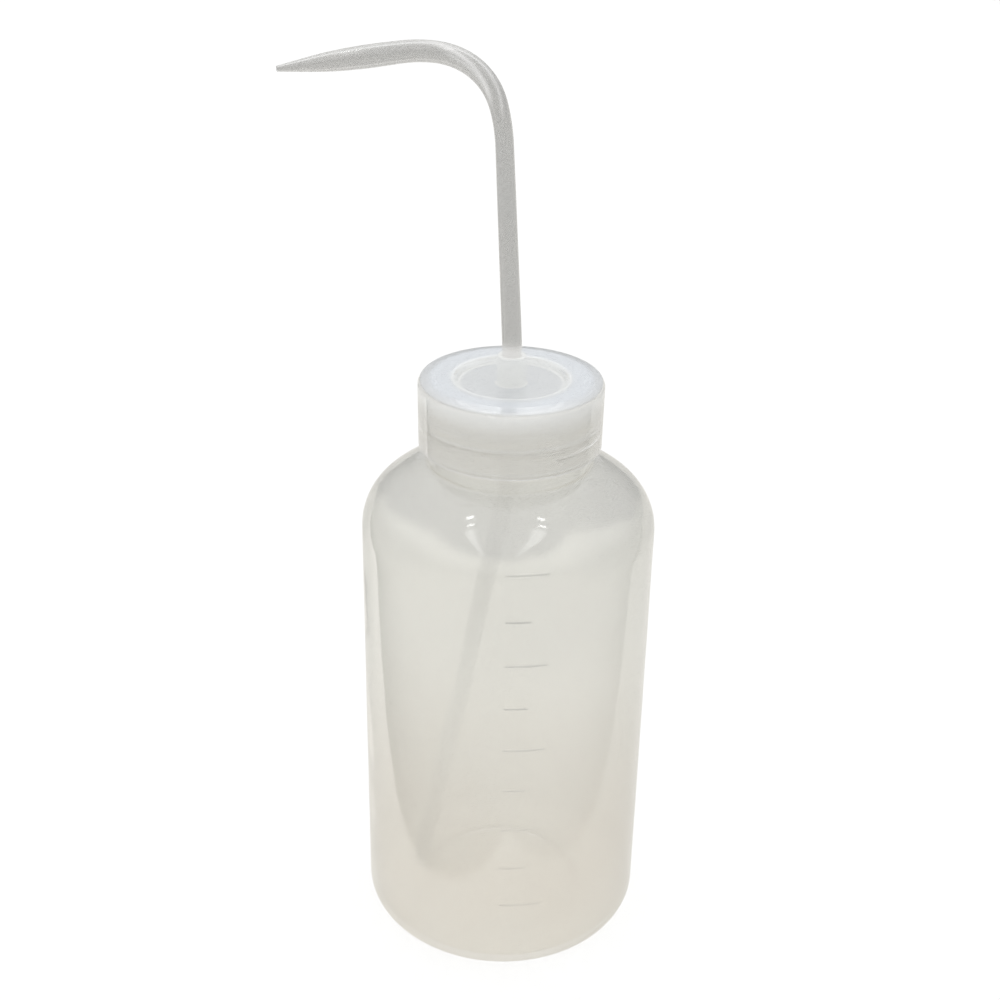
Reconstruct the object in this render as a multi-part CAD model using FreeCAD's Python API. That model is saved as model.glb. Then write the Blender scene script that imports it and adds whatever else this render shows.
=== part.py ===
import FreeCAD, Part
import os
import math

os.makedirs("parts", exist_ok=True)
V = FreeCAD.Vector

# 500 mL laboratory wash bottle, in millimetres.
# Origin: centre of the standing ring, on the axis of the bottle. +Z up.
# The spout points to -X, the graduation marks face -Y.

# ---------------------------------------------------------------- bottle
BODY_R = 37.0            # outside radius of the body
WALL = 0.95              # body wall
BASE_WALL = 1.2
BASE_CORNER_R = 7.7      # radius between base and body
RING_R_OUT = 29.3        # standing ring, outer and inner radius
RING_R_IN = 24.3
PUSH_R = 18.5            # flat of the push-up under the base
PUSH_H = 2.2             # height of the push-up at its centre
SHOULDER_Z = 116.0       # the straight wall ends here
SHOULDER_R = 14.45       # radius of the shoulder arc
SHOULDER_TURN = 60.0     # degrees that the shoulder arc turns
NECK_R = 19.4            # outside of the neck between threads
NECK_BORE_R = 17.5
BEAD_R = 20.6            # collar under the cap
BEAD_Z0 = 134.6
BEAD_Z1 = 137.6
RIM_Z = 152.9            # sealing rim of the neck

# ---------------------------------------------------------------- graduation marks
MARK_H = 0.20            # how far a mark stands off the wall
MARK_W = 0.5             # height of the line
MARK_Z_100 = 23.2        # height of the 100 mL line
MARK_PITCH = 12.22       # height of 50 mL
MARK_COUNT = 9           # 100, 150 ... 500 mL
MARK_LONG = 10.4         # arc length of the 100, 200 ... lines
MARK_SHORT = 6.0         # arc length of the lines between
MARK_START = -0.4        # the lines start this far from the front centre line

# ---------------------------------------------------------------- screw thread
PITCH = 3.4
THREAD_BASE_W = 1.6      # width of the thread at its root
THREAD_CREST_W = 0.7
NECK_CREST_R = 20.5      # crest of the thread on the neck
CAP_ROOT_R = 20.9        # inside of the skirt
CAP_CREST_R = 19.8       # crest of the thread in the cap
NECK_THREAD_Z = 141.9    # start of the neck thread, middle of its profile
NECK_THREAD_TURNS = 2.25
CAP_THREAD_DROP = 1.06   # the cap thread runs this far under the neck thread
CAP_THREAD_TURNS = 2.0
THREAD_SINK = 0.3        # the thread solid reaches this far into its wall

# ---------------------------------------------------------------- screw cap
CAP_R = 22.8
CAP_R_LOW = 22.65
CAP_Z0 = 138.5
CAP_Z1 = 155.9
CROWN_R = 22.25          # crown edge, a little inside the skirt
CROWN_Z = 154.45
CROWN_FLAT_R = 19.3      # the crown is flat from here to the recess
RECESS_R = 13.8
RECESS_FLOOR_R = 12.8
RECESS_Z = 154.0
PLATE = 1.7              # thickness of the recess floor
CROWN_UNDER_Z = 154.05   # underside of the crown, where the seal sits
POCKET_R_TOP = 14.75     # outside of the recess wall, under the crown
POCKET_R_LOW = 14.2
BOSS_R = 3.6
BOSS_Z = 161.5
TUBE_CLEAR = 0.05        # the tube turns in the boss with this radial gap

# ---------------------------------------------------------------- seal ring
SEAL_R_OUT = 20.3
SEAL_R_IN = 14.95
SEAL_Z0 = 152.93
SEAL_Z1 = 154.02

# ---------------------------------------------------------------- delivery tube
TUBE_R = 2.4
TUBE_BORE_R = 1.6
DIP_TILT = 10.9          # degrees, slant of the dip leg
DIP_END_Z = 6.5
DIP_BEND_R = 40.0
DIP_BEND_Z = 130.7       # the slant leg turns upright here
UPRIGHT_TOP_Z = 161.6    # the tube leaves the vertical just above the boss
LEAN_R = 80.0
LEAN = 3.2               # degrees towards the spout side
LEAN_RUN = 45.9
SPOUT_ARCS = [(42.0, 12.8), (15.2, 49.4), (17.9, 18.9), (31.5, 14.3)]
SPOUT_RUN = 27.7         # straight end of the spout, tip included
TAPER_START = 10.5       # along the straight end
TAPER_TURN = 19.3        # the rounded start of the taper ends here
TAPER_TURN_R = 1.80
TIP_R = 0.65
TIP_BORE_R = 0.38


def rz(r, z):
    return V(r, 0.0, z)


def wire_from(path):
    """Closed wire in the XZ half plane. Each step is ('L', p) or ('A', mid, p)."""
    start = path[0]
    here = start
    edges = []
    for step in path[1:]:
        if step[0] == "L":
            if here.distanceToPoint(step[1]) > 1e-7:
                edges.append(Part.LineSegment(here, step[1]).toShape())
            here = step[1]
        else:
            edges.append(Part.Arc(here, step[1], step[2]).toShape())
            here = step[2]
    if here.distanceToPoint(start) > 1e-7:
        edges.append(Part.LineSegment(here, start).toShape())
    return Part.Wire(edges)


def revolved(path):
    return Part.Face(wire_from(path)).revolve(V(0, 0, 0), V(0, 0, 1), 360)


def arc_mid(centre_r, centre_z, radius, a0, a1):
    a = math.radians((a0 + a1) / 2.0)
    return rz(centre_r + radius * math.cos(a), centre_z + radius * math.sin(a))


def arc_end(centre_r, centre_z, radius, a1):
    a = math.radians(a1)
    return rz(centre_r + radius * math.cos(a), centre_z + radius * math.sin(a))


def thread(root_r, crest_r, z0, turns, start_deg):
    """Right-hand trapezoidal thread along a helix, sunk into its wall."""
    out = 1.0 if crest_r > root_r else -1.0
    base_r = root_r - out * THREAD_SINK
    slope = (THREAD_BASE_W - THREAD_CREST_W) / 2.0 / abs(crest_r - root_r)
    hb = THREAD_BASE_W / 2.0 + slope * THREAD_SINK
    hc = THREAD_CREST_W / 2.0
    helix = Part.makeHelix(PITCH, PITCH * turns, root_r)
    pts = [rz(base_r, -hb), rz(crest_r, -hc), rz(crest_r, hc), rz(base_r, hb)]
    profile = Part.makePolygon(pts + [pts[0]])
    solid = Part.Wire(helix.Edges).makePipeShell([profile], True, True)
    solid = Part.Solid(solid) if solid.ShapeType != "Solid" else solid
    if solid.Volume < 0:
        solid.reverse()
    solid.rotate(V(0, 0, 0), V(0, 0, 1), start_deg)
    solid.translate(V(0, 0, z0))
    return solid


def make_bottle():
    sc = BODY_R - SHOULDER_R                     # centre of the shoulder arc
    si = BODY_R - WALL - sc                      # inner shoulder radius
    cr = BODY_R - BASE_CORNER_R
    ci = BASE_CORNER_R - WALL
    s_out = arc_end(sc, SHOULDER_Z, SHOULDER_R, SHOULDER_TURN)
    s_in = arc_end(sc, SHOULDER_Z, si, SHOULDER_TURN)
    t = math.radians(SHOULDER_TURN)
    dr, dz = -math.sin(t), math.cos(t)
    run = (s_out.x - (BEAD_R + 0.7)) / -dr       # straight slope up to the collar
    s_top = rz(s_out.x + dr * run, s_out.z + dz * run)
    run_i = (s_in.x - (NECK_BORE_R + 1.3)) / -dr
    i_top = rz(s_in.x + dr * run_i, s_in.z + dz * run_i)
    body = revolved([
        rz(0, PUSH_H),
        ("L", rz(PUSH_R, PUSH_H - 0.2)),
        ("A", rz(PUSH_R + 1.6, PUSH_H - 0.55), rz(PUSH_R + 2.9, 1.05)),
        ("L", rz(RING_R_IN - 1.5, 0.4)),
        ("A", rz(RING_R_IN - 0.8, 0.1), rz(RING_R_IN, 0)),
        ("L", rz(RING_R_OUT, 0)),
        ("A", arc_mid(cr, BASE_CORNER_R, BASE_CORNER_R, -90, 0), rz(BODY_R, BASE_CORNER_R)),
        ("L", rz(BODY_R, SHOULDER_Z)),
        ("A", arc_mid(sc, SHOULDER_Z, SHOULDER_R, 0, SHOULDER_TURN), s_out),
        ("L", s_top),
        ("A", rz(BEAD_R + 0.18, s_top.z + 0.47), rz(BEAD_R, s_top.z + 1.15)),
        ("L", rz(BEAD_R, BEAD_Z1 - 0.5)),
        ("A", rz(BEAD_R - 0.15, BEAD_Z1 - 0.15), rz(BEAD_R - 0.5, BEAD_Z1)),
        ("L", rz(NECK_R + 0.3, BEAD_Z1)),
        ("A", rz(NECK_R + 0.09, BEAD_Z1 + 0.09), rz(NECK_R, BEAD_Z1 + 0.3)),
        ("L", rz(NECK_R, RIM_Z - 0.4)),
        ("A", rz(NECK_R - 0.12, RIM_Z - 0.12), rz(NECK_R - 0.4, RIM_Z)),
        ("L", rz(NECK_BORE_R + 0.3, RIM_Z)),
        ("A", rz(NECK_BORE_R + 0.09, RIM_Z - 0.09), rz(NECK_BORE_R, RIM_Z - 0.3)),
        ("L", rz(NECK_BORE_R, BEAD_Z1 - 1.0)),
        ("A", rz(NECK_BORE_R + 0.35, BEAD_Z1 - 2.4), i_top),
        ("L", s_in),
        ("A", arc_mid(sc, SHOULDER_Z, si, 0, SHOULDER_TURN), rz(BODY_R - WALL, SHOULDER_Z)),
        ("L", rz(BODY_R - WALL, BASE_CORNER_R)),
        ("A", arc_mid(cr, BASE_CORNER_R, ci, -90, 0), rz(cr, BASE_CORNER_R - ci)),
        ("L", rz(RING_R_IN, BASE_WALL)),
        ("L", rz(PUSH_R + 2.9, 1.05 + BASE_WALL)),
        ("L", rz(PUSH_R, PUSH_H - 0.2 + BASE_WALL)),
        ("L", rz(0, PUSH_H + BASE_WALL)),
    ])
    whole = body.fuse(thread(NECK_R, NECK_CREST_R, NECK_THREAD_Z, NECK_THREAD_TURNS, 200.0))
    # raised graduation lines, each a short band around the front of the wall
    marks = []
    for i in range(MARK_COUNT):
        z = MARK_Z_100 + MARK_PITCH * i
        length = MARK_LONG if i % 2 == 0 else MARK_SHORT
        r_wall = BODY_R
        if z > SHOULDER_Z:
            r_wall = sc + math.sqrt(SHOULDER_R ** 2 - (z - SHOULDER_Z) ** 2)
        start = -90.0 + math.degrees(MARK_START / r_wall)
        sweep = math.degrees(length / r_wall)
        r0, r1 = r_wall - 0.35, r_wall + MARK_H
        quad = Part.makePolygon([rz(r0, z - MARK_W / 2), rz(r1, z - MARK_W / 2 + 0.12),
                                 rz(r1, z + MARK_W / 2 - 0.12), rz(r0, z + MARK_W / 2),
                                 rz(r0, z - MARK_W / 2)])
        bar = Part.Face(quad).revolve(V(0, 0, 0), V(0, 0, 1), sweep)
        bar.rotate(V(0, 0, 0), V(0, 0, 1), start)
        marks.append(bar)
    return whole.fuse(marks)


def make_cap():
    bore = TUBE_R + TUBE_CLEAR
    shell = revolved([
        rz(CAP_ROOT_R + 0.4, CAP_Z0),
        ("L", rz(CAP_R_LOW - 0.3, CAP_Z0)),
        ("A", rz(CAP_R_LOW - 0.09, CAP_Z0 + 0.09), rz(CAP_R_LOW, CAP_Z0 + 0.3)),
        ("L", rz(CAP_R, CROWN_Z - 1.3)),
        ("A", rz(CAP_R - 0.12, CROWN_Z - 0.75), rz(CROWN_R, CROWN_Z - 0.5)),
        ("A", rz(CROWN_R - 0.1, CROWN_Z - 0.12), rz(CROWN_R - 0.5, CROWN_Z + 0.15)),
        ("L", rz(CROWN_FLAT_R + 0.25, CAP_Z1 - 0.1)),
        ("L", rz(CROWN_FLAT_R - 0.1, CAP_Z1)),
        ("L", rz(RECESS_R + 0.3, CAP_Z1)),
        ("A", rz(RECESS_R + 0.05, CAP_Z1 - 0.1), rz(RECESS_R - 0.05, CAP_Z1 - 0.35)),
        ("L", rz(RECESS_FLOOR_R + 0.15, RECESS_Z + 0.25)),
        ("A", rz(RECESS_FLOOR_R + 0.02, RECESS_Z + 0.07), rz(RECESS_FLOOR_R - 0.2, RECESS_Z)),
        ("L", rz(BOSS_R + 0.4, RECESS_Z)),
        ("A", rz(BOSS_R + 0.12, RECESS_Z + 0.12), rz(BOSS_R, RECESS_Z + 0.4)),
        ("L", rz(BOSS_R, BOSS_Z - 0.35)),
        ("A", rz(BOSS_R - 0.1, BOSS_Z - 0.1), rz(BOSS_R - 0.35, BOSS_Z)),
        ("L", rz(bore, BOSS_Z)),
        ("L", rz(bore, RECESS_Z - PLATE)),
        ("L", rz(POCKET_R_LOW - 0.3, RECESS_Z - PLATE)),
        ("A", rz(POCKET_R_LOW - 0.08, RECESS_Z - PLATE + 0.08), rz(POCKET_R_LOW, RECESS_Z - PLATE + 0.3)),
        ("L", rz(POCKET_R_TOP, CROWN_UNDER_Z)),
        ("L", rz(CAP_ROOT_R, CROWN_UNDER_Z)),
        ("L", rz(CAP_ROOT_R, CAP_Z0 + 0.4)),
    ])
    ridge = thread(CAP_ROOT_R, CAP_CREST_R, NECK_THREAD_Z - CAP_THREAD_DROP + PITCH * 0.25,
                   CAP_THREAD_TURNS, 200.0 + 90.0)
    return shell.fuse(ridge)


def make_seal():
    c = 0.15
    return revolved([
        rz(SEAL_R_IN, SEAL_Z0 + c),
        ("L", rz(SEAL_R_IN + c, SEAL_Z0)),
        ("L", rz(SEAL_R_OUT - c, SEAL_Z0)),
        ("L", rz(SEAL_R_OUT, SEAL_Z0 + c)),
        ("L", rz(SEAL_R_OUT, SEAL_Z1 - c)),
        ("L", rz(SEAL_R_OUT - c, SEAL_Z1)),
        ("L", rz(SEAL_R_IN + c, SEAL_Z1)),
        ("L", rz(SEAL_R_IN, SEAL_Z1 - c)),
    ])


def heading(deg):
    """Unit direction in the XZ plane, deg from +Z towards -X."""
    a = math.radians(deg)
    return V(-math.sin(a), 0.0, math.cos(a))


def tube_path():
    """Runs and tangent arcs from the foot of the dip leg to the spout tip."""
    foot_dx = DIP_BEND_R * (1 - math.cos(math.radians(DIP_TILT)))
    foot_dz = DIP_BEND_R * math.sin(math.radians(DIP_TILT))
    leg_top = V(-foot_dx, 0, DIP_BEND_Z - foot_dz)
    leg_len = (leg_top.z - DIP_END_Z) / math.cos(math.radians(DIP_TILT))
    foot = leg_top - heading(-DIP_TILT) * leg_len
    steps = [("run", leg_len), ("arc", DIP_BEND_R, DIP_TILT),
             ("run", UPRIGHT_TOP_Z - DIP_BEND_Z), ("arc", LEAN_R, LEAN), ("run", LEAN_RUN)]
    steps += [("arc", r, a) for r, a in SPOUT_ARCS]
    return foot, -DIP_TILT, steps


def swept(radius):
    """The tube as cylinders and parts of tori that meet face to face."""
    here, deg, steps = tube_path()
    solids = []
    length = 0.0
    for s in steps:
        d = heading(deg)
        if s[0] == "run":
            solids.append(Part.makeCylinder(radius, s[1], here, d))
            here = here + d * s[1]
            length += s[1]
        else:
            r, turn = s[1], s[2]
            a = math.radians(deg)
            centre = here + V(-math.cos(a), 0, -math.sin(a)) * r
            disc = Part.Face(Part.Wire(Part.makeCircle(radius, here, d)))
            solids.append(disc.revolve(centre, V(0, -1, 0), turn))
            deg += turn
            a = math.radians(deg)
            here = centre + V(math.cos(a), 0, math.sin(a)) * r
            length += r * math.radians(turn)
    return solids, here, deg, length


def tip_solid(start_r, turn_r, tip_r, here, deg, extra):
    """Round end of the spout, about +Z, then laid along the spout."""
    mid_s = (TAPER_START + TAPER_TURN) / 2.0
    k = (turn_r - tip_r) / (SPOUT_RUN - TAPER_TURN)
    bulge = start_r - (start_r - turn_r) * 0.25
    path = [rz(0, 0), ("L", rz(start_r, 0)), ("L", rz(start_r, TAPER_START)),
            ("A", rz(bulge, mid_s), rz(turn_r, TAPER_TURN)),
            ("L", rz(tip_r - k * extra, SPOUT_RUN + extra)), ("L", rz(0, SPOUT_RUN + extra))]
    solid = revolved(path)
    solid.Placement = FreeCAD.Placement(here, FreeCAD.Rotation(V(0, 0, 1), heading(deg)))
    return solid


def make_tube():
    outer, here, deg, length = swept(TUBE_R)
    outer.append(tip_solid(TUBE_R, TAPER_TURN_R, TIP_R, here, deg, 0.0))
    inner, _, _, _ = swept(TUBE_BORE_R)
    inner.append(tip_solid(TUBE_BORE_R, 1.2, TIP_BORE_R, here, deg, 0.2))
    # a short extension opens the bore at the foot
    foot, foot_deg, _ = tube_path()
    inner.append(Part.makeCylinder(TUBE_BORE_R, 1.0, foot - heading(foot_deg) * 1.0, heading(foot_deg)))
    solid = outer[0].fuse(outer[1:]).removeSplitter()
    bore = inner[0].fuse(inner[1:]).removeSplitter()
    tip = here + heading(deg) * SPOUT_RUN
    return solid.cut(bore), length + SPOUT_RUN, foot, tip


tube, tube_length, tube_foot, tube_tip = make_tube()
shapes = {
    "bottle": make_bottle(),
    "screw_cap": make_cap(),
    "cap_seal": make_seal(),
    "delivery_tube": tube,
}

for name, shape in shapes.items():
    if shape.ShapeType != "Solid":
        solids = shape.Solids
        shape = solids[0] if len(solids) == 1 else Part.makeCompound(solids)
    print("%-14s valid %s  solids %d  faces %d  volume %.2f cm3" % (
        name, shape.isValid(), len(shape.Solids), len(shape.Faces), shape.Volume / 1000.0))
    shape.exportStep("parts/%s.step" % name)
print("tube length %.1f mm, foot (%.2f, %.2f), tip (%.2f, %.2f)" % (
    tube_length, tube_foot.x, tube_foot.z, tube_tip.x, tube_tip.z))
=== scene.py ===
import math

import bpy
import numpy as np
from mathutils import Matrix, Vector, noise


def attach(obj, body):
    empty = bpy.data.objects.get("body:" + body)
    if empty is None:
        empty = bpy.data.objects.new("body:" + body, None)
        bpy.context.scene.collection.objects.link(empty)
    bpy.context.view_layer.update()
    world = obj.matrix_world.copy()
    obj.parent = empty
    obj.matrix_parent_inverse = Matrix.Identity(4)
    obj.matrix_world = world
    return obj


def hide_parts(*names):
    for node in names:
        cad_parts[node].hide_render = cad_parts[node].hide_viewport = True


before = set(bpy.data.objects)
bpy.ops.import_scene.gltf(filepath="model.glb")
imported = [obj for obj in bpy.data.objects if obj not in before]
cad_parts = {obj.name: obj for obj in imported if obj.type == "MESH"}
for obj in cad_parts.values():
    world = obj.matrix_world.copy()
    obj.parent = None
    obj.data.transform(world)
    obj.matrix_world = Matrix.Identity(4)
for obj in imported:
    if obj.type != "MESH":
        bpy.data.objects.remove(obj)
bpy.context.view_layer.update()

MM = 0.001

# --------------------------------------------------------------------------------------
# profile and mesh helpers (lengths in mm, written to the meshes in metres)
# --------------------------------------------------------------------------------------


def rounded(points, closed=False, step=0.8, arc_deg=7.0):
    """Points (r, z, fillet radius) joined by lines with tangent arcs at the corners."""
    n = len(points)
    out = []
    for i, (r, z, f) in enumerate(points):
        p = np.array([r, z], float)
        if not closed and i in (0, n - 1) or f <= 0:
            out.append(p)
            continue
        a = np.array(points[(i - 1) % n][:2], float)
        b = np.array(points[(i + 1) % n][:2], float)
        u, v = a - p, b - p
        lu, lv = np.linalg.norm(u), np.linalg.norm(v)
        u, v = u / lu, v / lv
        ang = math.acos(max(-1, min(1, float(u @ v))))
        turn = math.pi - ang
        if turn < 1e-3:
            out.append(p)
            continue
        t = min(f * math.tan(turn / 2), 0.49 * lu, 0.49 * lv)
        f = t / math.tan(turn / 2)
        c = p + (u + v) / np.linalg.norm(u + v) * f / math.sin(ang / 2)
        s, e = p + u * t, p + v * t
        a0 = math.atan2(*(s - c)[::-1])
        a1 = math.atan2(*(e - c)[::-1])
        d = (a1 - a0 + math.pi) % (2 * math.pi) - math.pi
        k = max(2, int(math.ceil(abs(math.degrees(d)) / arc_deg)))
        for j in range(k + 1):
            w = a0 + d * j / k
            out.append(c + f * np.array([math.cos(w), math.sin(w)]))
    if closed:
        out.append(out[0].copy())
    # straight stretches get points too, so that noise and threads have something to move
    full = [out[0]]
    for q in out[1:]:
        gap = float(np.linalg.norm(q - full[-1]))
        if gap < 1e-6:
            continue
        s = step(full[-1], q) if callable(step) else step
        m = max(1, int(math.ceil(gap / s - 1e-6)))
        base = full[-1]
        for j in range(1, m + 1):
            full.append(base + (q - base) * j / m)
    if closed:
        full.pop()
    return np.array(full)


def mesh_object(name, verts_mm, quads, tris=()):
    me = bpy.data.meshes.new(name)
    faces = [tuple(int(i) for i in q) for q in quads] + [tuple(int(i) for i in t) for t in tris]
    me.from_pydata((np.asarray(verts_mm) * MM).tolist(), [], faces)
    me.validate()
    me.polygons.foreach_set("use_smooth", [True] * len(me.polygons))
    me.update()
    ob = bpy.data.objects.new(name, me)
    bpy.context.scene.collection.objects.link(ob)
    return ob


def lathe(name, profile, thetas, move=None, closed=False, flip=False, marks=None):
    """Solid of revolution about Z. profile (r, z) runs from pole to pole, or is a closed loop.
    move(r, z, theta, i) gives the moved r and z of a whole ring."""
    nt = len(thetas)
    c, s = np.cos(thetas), np.sin(thetas)
    verts, rows = [], []
    for i, (r, z) in enumerate(profile):
        if r < 1e-6:
            rows.append([len(verts)])
            verts.append((0.0, 0.0, z))
            continue
        rr = np.full(nt, float(r))
        zz = np.full(nt, float(z))
        if move is not None:
            rr, zz = move(rr, zz, thetas, i)
        first = len(verts)
        verts.extend(zip(rr * c, rr * s, zz))
        rows.append(list(range(first, first + nt)))
    quads, tris = [], []
    pairs = list(zip(rows[:-1], rows[1:]))
    if closed:
        pairs.append((rows[-1], rows[0]))
    for a, b in pairs:
        if len(a) == 1 and len(b) == 1:
            continue
        if len(a) == 1:
            tris += [(a[0], b[(j + 1) % nt], b[j]) for j in range(nt)]
        elif len(b) == 1:
            tris += [(a[j], a[(j + 1) % nt], b[0]) for j in range(nt)]
        else:
            quads += [(a[j], a[(j + 1) % nt], b[(j + 1) % nt], b[j]) for j in range(nt)]
    if flip:
        quads = [q[::-1] for q in quads]
        tris = [t[::-1] for t in tris]
    ob = mesh_object(name, verts, quads, tris)
    for key, value in (marks or {}).items():
        data = np.zeros(len(verts), dtype=np.float32)
        for i, row in enumerate(rows):
            r, z = profile[i]
            data[row] = value(r, z, thetas if len(row) > 1 else np.zeros(1), i)
        at = ob.data.attributes.new(key, "FLOAT", "POINT")
        at.data.foreach_set("value", data)
    return ob


def smooth01(x):
    x = np.clip(x, 0.0, 1.0)
    return x * x * (3 - 2 * x)


def helix_height(theta, z, start_deg, z0, turns, pitch, height, half_base, half_crest, fade_deg=22.0):
    """How far a helical ridge stands off its wall at (theta, z)."""
    best = np.zeros_like(z)
    first = np.mod(np.degrees(theta) - start_deg, 360.0)
    k = 0
    while k * 360.0 < turns * 360.0 + 1e-6:
        phi = first + 360.0 * k
        zc = z0 + pitch * phi / 360.0
        t = np.clip((half_base - np.abs(z - zc)) / (half_base - half_crest), 0, 1)
        fade = smooth01((phi + 2.0) / fade_deg) * smooth01((turns * 360.0 + 2.0 - phi) / fade_deg)
        best = np.maximum(best, height * t * fade)
        k += 1
    return best


def ripple(theta, z, radius, cell, seed, octaves=2):
    """Slow, seamless noise over a surface of revolution, about -1 to 1."""
    out = np.empty(len(theta))
    for j, (t, h) in enumerate(zip(theta, z)):
        p = Vector((radius * math.cos(t), radius * math.sin(t), h)) / cell
        out[j] = noise.fractal(p + Vector((seed, -seed * 0.7, seed * 1.3)), 0.9, 2.0, octaves)
    return out


# --------------------------------------------------------------------------------------
# bottle: one blow-moulded shell, outside and inside
# --------------------------------------------------------------------------------------
BODY_R, WALL = 37.0, 0.95
CONE = math.radians(60.0)
PITCH = 3.4
MARKS = [(23.2 + 12.22 * i, 10.4 if i % 2 == 0 else 6.0) for i in range(9)]
# painted shade on each volume line, listed from the lowest line up
MARK_SHADE = (0.45, 0.45, 0.46, 0.64, 0.68, 0.76, 0.62, 0.72, 0.37)   # the lower lines are fainter
MARK_H, MARK_HALF = 0.20, 0.25
MARK_T0 = -math.pi / 2 - 0.4 / BODY_R


def cone_z(r, corner_r, corner_z):
    return corner_z + (corner_r - r) / math.tan(CONE)


def mark_angles():
    out = []
    for length in (10.4, 6.0):
        for d in (-0.12, 0.12):
            out.append(MARK_T0 + (length + d) / BODY_R)
    out += [MARK_T0 - 0.12 / BODY_R, MARK_T0 + 0.12 / BODY_R]
    return out


def bottle_thetas():
    t = list(np.arange(264) * 2 * math.pi / 264)
    for seam in (0.0, math.pi):
        t += [seam + k * math.radians(0.28) for k in (-2, -1, 0, 1, 2)]
    t += mark_angles()
    t = sorted(np.mod(t, 2 * math.pi))
    keep = [t[0]]
    special = np.mod(mark_angles(), 2 * math.pi)
    for a in t[1:]:
        if a - keep[-1] < math.radians(0.12):
            if np.min(np.abs(special - a)) < 1e-9:
                keep[-1] = a
            continue
        keep.append(a)
    return np.array(keep)


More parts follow.
